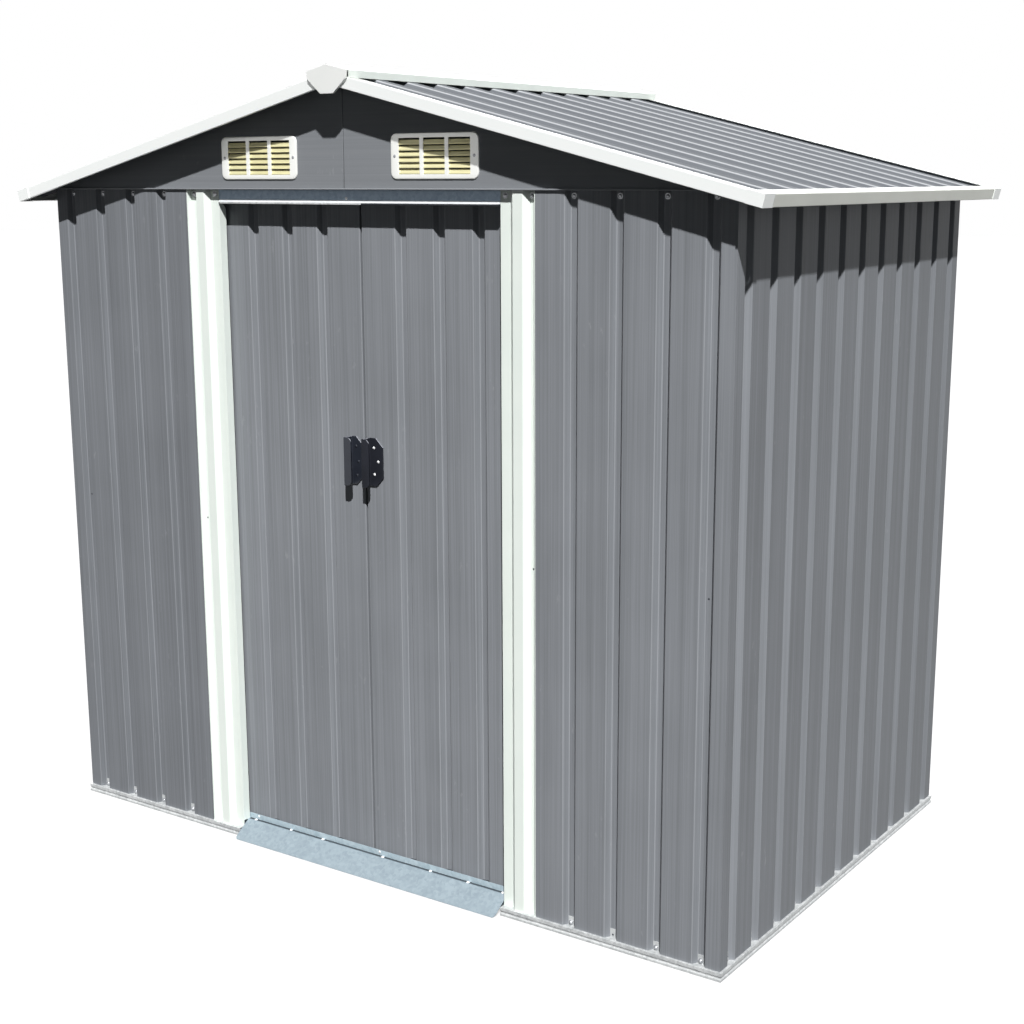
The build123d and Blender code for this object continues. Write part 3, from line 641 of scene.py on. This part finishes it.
for part in frame["record"]["subparts"]:
    name, slot = part["node"], part["material_slot"]
    nodes[name].data.materials.clear()
    nodes[name].data.materials.append(OWN_FINISHES.get(name, FINISHES[slot]))
    if name in JAMBS:
        soften(nodes[name], JAMB_ROUND, True, JAMB_NARROW)
    elif name not in UNBENT:
        soften(nodes[name], OWN_ROUNDS.get(name, ROUNDS.get(slot, CAP_ROUND)), slot in ROUNDS)


def add_object(name, data):
    """Puts an object with that data in the scene."""
    obj = bpy.data.objects.new(name, data)
    bpy.context.scene.collection.objects.link(obj)
    return obj


def finished(name, bm, body, slot, *finishes):
    """Turns a bmesh into a piece with its finishes that rides on a body."""
    bmesh.ops.recalc_face_normals(bm, faces=bm.faces)
    mesh = bpy.data.meshes.new(name)
    bm.to_mesh(mesh)
    bm.free()
    for finish in finishes:
        mesh.materials.append(finish)
    mesh.shade_smooth()
    mesh.set_sharp_from_angle(angle=SHARP_LEAST)
    piece = add_object(name, mesh)
    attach(piece, body)
    return piece


def domed_head(bm, place, outward, radius, height):
    """A low domed head that stands on a place and points outward."""
    seat = Matrix.Translation(place) @ outward.to_track_quat("Z", "Y").to_matrix().to_4x4()
    flank = height * FLANK_SHARE
    cone = bmesh.ops.create_cone(bm, cap_ends=True, segments=BOLT_SIDES, radius1=radius,
                                 radius2=radius * BROW_SHARE, depth=flank,
                                 matrix=seat @ Matrix.Translation((0, 0, flank / 2)))
    faces = {face for vert in cone["verts"] for face in vert.link_faces}
    top = max(faces, key=lambda face: face.calc_center_median().dot(outward))
    bmesh.ops.inset_region(bm, faces=[top], thickness=radius * CROWN_SHARE, depth=height - flank)


def bolt(bm, place, outward):
    """A bolt head on its washer."""
    seat = Matrix.Translation(place + outward * WASHER_SHEET / 2)
    turn = outward.to_track_quat("Z", "Y").to_matrix().to_4x4()
    bmesh.ops.create_cone(bm, cap_ends=True, segments=BOLT_SIDES, radius1=WASHER_RADIUS,
                          radius2=WASHER_RADIUS, depth=WASHER_SHEET, matrix=seat @ turn)
    domed_head(bm, place + outward * WASHER_SHEET, outward, BOLT_RADIUS, BOLT_HEIGHT)


def spread(half):
    """Groove places along a whole wall of that half length."""
    last = half - CORNER_FLAT
    gaps = round(2 * last / GROOVE_PITCH)
    return [last * (2 * step / gaps - 1) for step in range(gaps + 1)]


def groove_places():
    """The foot of every wall groove at the outer face of its wall, and the way out there."""
    for step in range(FRONT_GROOVES):
        x = RIGHT_X - CORNER_FLAT - GROOVE_PITCH * step
        yield Vector((x, FRONT_Y, 0)), OUT["front"]
        yield Vector((-x, FRONT_Y, 0)), OUT["front"]
    for x in spread(RIGHT_X):
        yield Vector((x, BACK_Y, 0)), OUT["back"]
    for y in spread(BACK_Y):
        yield Vector((RIGHT_X, y, 0)), OUT["right"]
        yield Vector((-RIGHT_X, y, 0)), OUT["left"]


def wall_bolts():
    """Bolts along the wall tops, through the base tabs and at the heads of the jambs."""
    bm = bmesh.new()
    for foot, outward in groove_places():
        groove_floor = foot - outward * GROOVE_DEPTH
        bolt(bm, groove_floor + UP * (WALL_TOP - TOP_BOLT_DROP), outward)
        bare = outward == OUT["front"] and abs(foot.x - BARE_TAB) < GROOVE_PITCH / 2
        if not bare:
            bolt(bm, groove_floor + outward * TAB_SHEET + UP * (RAIL_TOP + FOOT_BOLT_LIFT), outward)
    for x in JAMB_BOLTS:
        for side in (-1, 1):
            place = Vector((side * x, FRONT_Y + GROOVE_DEPTH, WALL_TOP - TOP_BOLT_DROP))
            bolt(bm, place, OUT["front"])
    return finished("wall_bolts", bm, "shed", "galvanised", BOLT_STEEL)


def dark_rivets():
    """Small dark rivets where the sheets are lapped, and a black spot of painted shade for the bare hole in
    one base tab.
    """
    bm = bmesh.new()
    for x, z in LAP_RIVETS:
        place = Vector((x, FRONT_Y + GROOVE_DEPTH, z))
        domed_head(bm, place, OUT["front"], SPOT_RADIUS, SPOT_HEIGHT)
    # painted shade: a black spot stands in for the bare hole
    hole = Vector((BARE_TAB, FRONT_Y + GROOVE_DEPTH - TAB_SHEET, RAIL_TOP + FOOT_BOLT_LIFT))
    domed_head(bm, hole, OUT["front"], SPOT_RADIUS, HOLE_HEIGHT)
    return finished("dark_rivets", bm, "shed", "black_plastic", BLACK_PLASTIC)


def doorway_screws():
    """Screws along the ramp's flange, on the guide behind it and at the joint of the head track."""
    bm = bmesh.new()
    for x in RAMP_SCREWS:
        place = Vector((x, RAMP_BACK - RAMP_SCREW_INSET, RAMP_TOP))
        domed_head(bm, place, UP, SCREW_RADIUS, SCREW_HEIGHT)
    for x in GUIDE_SCREWS:
        place = Vector((x, FRONT_Y + GUIDE_FACE, GUIDE_TOP - GUIDE_SCREW_DROP))
        domed_head(bm, place, OUT["front"], RIVET_RADIUS, RIVET_HEIGHT)
    place = Vector((SEAM_X - TRACK_SCREW_ASIDE, FRONT_Y + TRACK_SCREW_BACK, TRACK_FOOT + TRACK_SCREW_LIFT))
    domed_head(bm, place, OUT["front"], RIVET_RADIUS, RIVET_HEIGHT)
    return finished("doorway_screws", bm, "shed", "galvanised", HIGHLIGHTED_STEEL)


def handle_rivets(side, places, finish, slot):
    """The three rivets that hold a door's handle."""
    bm = bmesh.new()
    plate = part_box(f"{side}_door_handle")[1].y - HANDLE_SHEET
    for x, z in places:
        domed_head(bm, Vector((x, plate, z)), OUT["front"], RIVET_RADIUS, RIVET_HEIGHT)
    return finished(f"{side}_handle_rivets", bm, f"{side}_door", slot, finish)


def rounded(bm, edges, offset, segments):
    """Rounds edges of a bmesh."""
    bmesh.ops.bevel(bm, geom=list(edges), offset=offset, offset_type="OFFSET", segments=segments,
                    profile=0.5, affect="EDGES", clamp_overlap=True, material=-1)


def bar(bm, low, high, rounding):
    """A straight strip between two corners, with rounded edges."""
    low, high = Vector(low), Vector(high)
    size = Matrix.Diagonal((*(high - low), 1.0))
    cube = bmesh.ops.create_cube(bm, size=1.0, matrix=Matrix.Translation((low + high) / 2) @ size)
    rounded(bm, {edge for vert in cube["verts"] for edge in vert.link_edges}, rounding, STRIP_STEPS)


def gable_hems():
    """The folded hem along each gable's foot and the turned lip along its seam, in the lighter grey of
    painted highlight.
    """
    bm = bmesh.new()
    end = RIGHT_X - HEM_ENDS
    for face, side in ((FRONT_Y, -1), (BACK_Y, 1)):
        rows = sorted((face, face + side * HEM_PROUD))
        bar(bm, (-end, rows[0], WALL_TOP), (end, rows[1], WALL_TOP + HEM_HEIGHT), HEM_HEIGHT / 3)
        rows = sorted((face, face + side * SEAM_PROUD))
        bar(bm, (SEAM_X - SEAM_LIP, rows[0], WALL_TOP + HEM_HEIGHT), (SEAM_X, rows[1], GABLE_TOP - SEAM_TOP),
            SEAM_PROUD / 3)
    return finished("gable_hems", bm, "shed", "grey_paint", LIT_GREY_HEM)


def track_lap():
    """The bright edge of the head track's longer length, along the foot of the lip."""
    bm = bmesh.new()
    front = LIP_FRONT - LAP_PROUD
    bar(bm, (LAP_START, front, TRACK_FOOT), (LAP_END, front + LAP_DEPTH, TRACK_FOOT + LAP_HEIGHT),
        LAP_PROUD / 2)
    return finished("track_lap", bm, "shed", "galvanised", ZINC)


def cut(bm, place, along):
    """Divides all faces at a plane."""
    everything = bm.verts[:] + bm.edges[:] + bm.faces[:]
    bmesh.ops.bisect_plane(bm, geom=everything, plane_co=place, plane_no=along)


def front_edges(bm, inside):
    """The vent frame's sharp front edges, those inside the louvre field or those round it."""
    for edge in bm.edges:
        middle = (edge.verts[0].co + edge.verts[1].co) / 2
        ahead = all(vert.co.y < -VENT_PROUD / 2 for vert in edge.verts)
        sharp = edge.is_manifold and edge.calc_face_angle() > FRAME_SHARP
        across = abs(middle.x) < FIELD_HALF + FIELD_MARGIN
        within = across and abs(middle.z) < COLUMN_HEIGHT / 2 + FIELD_MARGIN
        if ahead and sharp and within == inside:
            yield edge


def vent_frame(bm):
    """A white frame with rounded edges and a window for each column of louvres."""
    columns = [COLUMN_PITCH * (step - (COLUMNS - 1) / 2) for step in range(COLUMNS)]
    upright = Matrix.Rotation(radians(90.0), 4, "X")
    bmesh.ops.create_grid(bm, x_segments=1, y_segments=1, size=0.5, matrix=upright)
    bmesh.ops.scale(bm, vec=(VENT_WIDTH, 1.0, VENT_HEIGHT), verts=bm.verts)
    bmesh.ops.bevel(bm, geom=bm.verts[:], offset=VENT_CORNER, offset_type="OFFSET", segments=CORNER_STEPS,
                    profile=0.5, affect="VERTICES", clamp_overlap=True, material=-1)
    for column in columns:
        cut(bm, (column - COLUMN_WIDTH / 2, 0, 0), (1, 0, 0))
        cut(bm, (column + COLUMN_WIDTH / 2, 0, 0), (1, 0, 0))
    cut(bm, (0, 0, -COLUMN_HEIGHT / 2), (0, 0, 1))
    cut(bm, (0, 0, COLUMN_HEIGHT / 2), (0, 0, 1))
    windows = []
    for face in bm.faces:
        middle = face.calc_center_median()
        aside = min(abs(middle.x - column) for column in columns)
        if abs(middle.z) < COLUMN_HEIGHT / 2 and aside < COLUMN_WIDTH / 4:
            windows.append(face)
    bmesh.ops.delete(bm, geom=windows, context="FACES")
    proud = bmesh.ops.extrude_face_region(bm, geom=bm.faces[:])["geom"]
    front = [item for item in proud if isinstance(item, bmesh.types.BMVert)]
    bmesh.ops.translate(bm, vec=(0, -VENT_PROUD, 0), verts=front)
    bmesh.ops.recalc_face_normals(bm, faces=bm.faces)
    rounded(bm, front_edges(bm, False), VENT_ROUND, ROUND_STEPS)
    rounded(bm, front_edges(bm, True), WINDOW_ROUND, ROUND_STEPS)


def vent_louvres(bm):
    """Sloping cream louvres across the windows of a vent."""
    for row in range(LOUVRES):
        foot = -COLUMN_HEIGHT / 2 + row * LOUVRE_PITCH
        slant = Matrix(((2 * FIELD_HALF, 0, 0, 0),
                        (0, LOUVRE_DEPTH, 0, LOUVRE_INSET - VENT_PROUD + LOUVRE_DEPTH / 2),
                        (0, LOUVRE_RISE, LOUVRE_LIP, foot + (LOUVRE_LIP + LOUVRE_RISE) / 2),
                        (0, 0, 0, 1)))
        blade = bmesh.ops.create_cube(bm, size=1.0, matrix=slant)["verts"]
        for face in {face for vert in blade for face in vert.link_faces}:
            face.material_index = 1
        front = LOUVRE_INSET - VENT_PROUD / 2
        lip = [edge for edge in {edge for vert in blade for edge in vert.link_edges}
               if all(vert.co.y < front for vert in edge.verts)]
        rounded(bm, lip, LOUVRE_LIP / 3, STRIP_STEPS)


def louvred_vent(node):
    """A moulded vent in a gable."""
    low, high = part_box(node)
    bm = bmesh.new()
    vent_frame(bm)
    vent_louvres(bm)
    at_back = low.y > 0
    if at_back:
        about = Matrix.Rotation(radians(180.0), 3, "Z")
        bmesh.ops.rotate(bm, cent=(0, 0, 0), matrix=about, verts=bm.verts)
    place = ((low.x + high.x) / 2, BACK_Y if at_back else FRONT_Y, (low.z + high.z) / 2)
    bmesh.ops.translate(bm, vec=place, verts=bm.verts)
    piece = finished(node.replace("vent", "louvred_vent"), bm, "shed", "cream_plastic", VENT_WHITE,
                     CREAM_PLASTIC)
    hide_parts(node)
    return piece


def vent_screws():
    """Two screws at each vent's ends."""
    bm = bmesh.new()
    for node in VENTS:
        low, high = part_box(node)
        middle = (low + high) / 2
        side = 1 if middle.y > 0 else -1
        face = (BACK_Y if side > 0 else FRONT_Y) + side * VENT_PROUD
        for end in (-1, 1):
            x = middle.x + end * (VENT_WIDTH / 2 - VENT_SCREW_INSET)
            domed_head(bm, Vector((x, face, middle.z)), Vector((0, side, 0)), RIVET_RADIUS, RIVET_HEIGHT)
    return finished("vent_screws", bm, "shed", "galvanised", BOLT_STEEL)


for vent in VENTS:
    louvred_vent(vent)
vent_screws()
wall_bolts()
dark_rivets()
doorway_screws()
handle_rivets("right", RIGHT_RIVETS, HIGHLIGHTED_STEEL, "galvanised")
# painted shade: the left handle's rivets take the black plastic, where the right handle's take the
# near-white zinc of painted highlight
handle_rivets("left", LEFT_RIVETS, BLACK_PLASTIC, "black_plastic")
gable_hems()
track_lap()


def looked_at(hand):
    """One for rays that show the surroundings: seen directly, mirrored or through glass."""
    rays = hand.add("ShaderNodeLightPath").outputs
    mirrored = hand.sum("MAXIMUM", rays["Is Glossy Ray"], rays["Is Transmission Ray"])
    return hand.sum("MAXIMUM", rays["Is Camera Ray"], mirrored)


def pale_floor():
    """A pale floor, paler still to the eye so that it meets the background without a line."""
    finish = Finish("pale_floor")
    hand = finish.hand
    seen = looked_at(hand)
    speckle = hand.span(hand.noise(finish.place, FLOOR_GRAIN, 4.0, 0.6), 0.3, 0.7, *FLOOR_SPECKLE)
    paleness = hand.sum("MULTIPLY", hand.span(seen, 0.0, 1.0, FLOOR_FILL, FLOOR_SEEN), speckle)
    pale = hand.add("ShaderNodeCombineColor", i0=paleness, i1=paleness, i2=paleness).outputs[0]
    finish.set(Base_Color=pale, Roughness=1.0, Specular_IOR_Level=0.0)
    finish.set(Emission_Color=WHITE, Emission_Strength=hand.sum("MULTIPLY", seen, FLOOR_GLOW))
    bm = bmesh.new()
    bmesh.ops.create_grid(bm, x_segments=1, y_segments=1, size=FLOOR_HALF,
                          matrix=Matrix.Translation((0, 0, cad_low.z - FLOOR_DROP)))
    mesh = bpy.data.meshes.new("floor")
    bm.to_mesh(mesh)
    bm.free()
    mesh.materials.append(finish.material)
    return add_object("floor", mesh)


def distant_lamp(name, along, strength, softness):
    """A lamp that shines along one direction."""
    light = bpy.data.lights.new(name, "SUN")
    light.energy = strength
    light.angle = softness
    lamp = add_object(name, light)
    lamp.rotation_euler = along.to_track_quat("-Z", "Y").to_euler()
    return lamp


def studio_sky():
    """An even sky that looks white, and lights the shade a little more from the right."""
    world = bpy.data.worlds.new("studio")
    world.use_nodes = True
    bpy.context.scene.world = world
    hand = Tree(world.node_tree)
    back = world.node_tree.nodes["Background"]
    seen = looked_at(hand)
    side = hand.axes(hand.add("ShaderNodeTexCoord").outputs["Generated"])[0]
    fill = hand.span(side, -1.0, 1.0, SKY_LEFT, SKY_RIGHT)
    hand.join(hand.sum("MAXIMUM", seen, fill), back.inputs["Strength"])
    hand.join(hand.blend(seen, SKY_SHADE, WHITE), back.inputs["Color"])


def photo_camera():
    """The camera at the photograph's view."""
    lens = bpy.data.cameras.new("photo_camera")
    lens.sensor_width = SENSOR
    lens.lens = FOCAL / PICTURE * SENSOR
    lens.shift_x = (PICTURE / 2 - MIDDLE[0]) / PICTURE
    lens.shift_y = (MIDDLE[1] - PICTURE / 2) / PICTURE
    camera = add_object("photo_camera", lens)
    turn = Matrix((ASIDE, ASIDE.cross(AHEAD), -AHEAD)).transposed().to_4x4()
    camera.matrix_world = Matrix.Translation(EYE) @ turn
    bpy.context.scene.camera = camera


floor = pale_floor()
main_lamp = distant_lamp("main_lamp", SUN_ALONG, SUN_STRENGTH, SUN_SOFT)
rear_lamp = distant_lamp("rear_lamp", REAR_ALONG, REAR_STRENGTH, REAR_SOFT)
studio_sky()
bpy.context.scene.view_settings.view_transform = "Standard"
photo_camera()
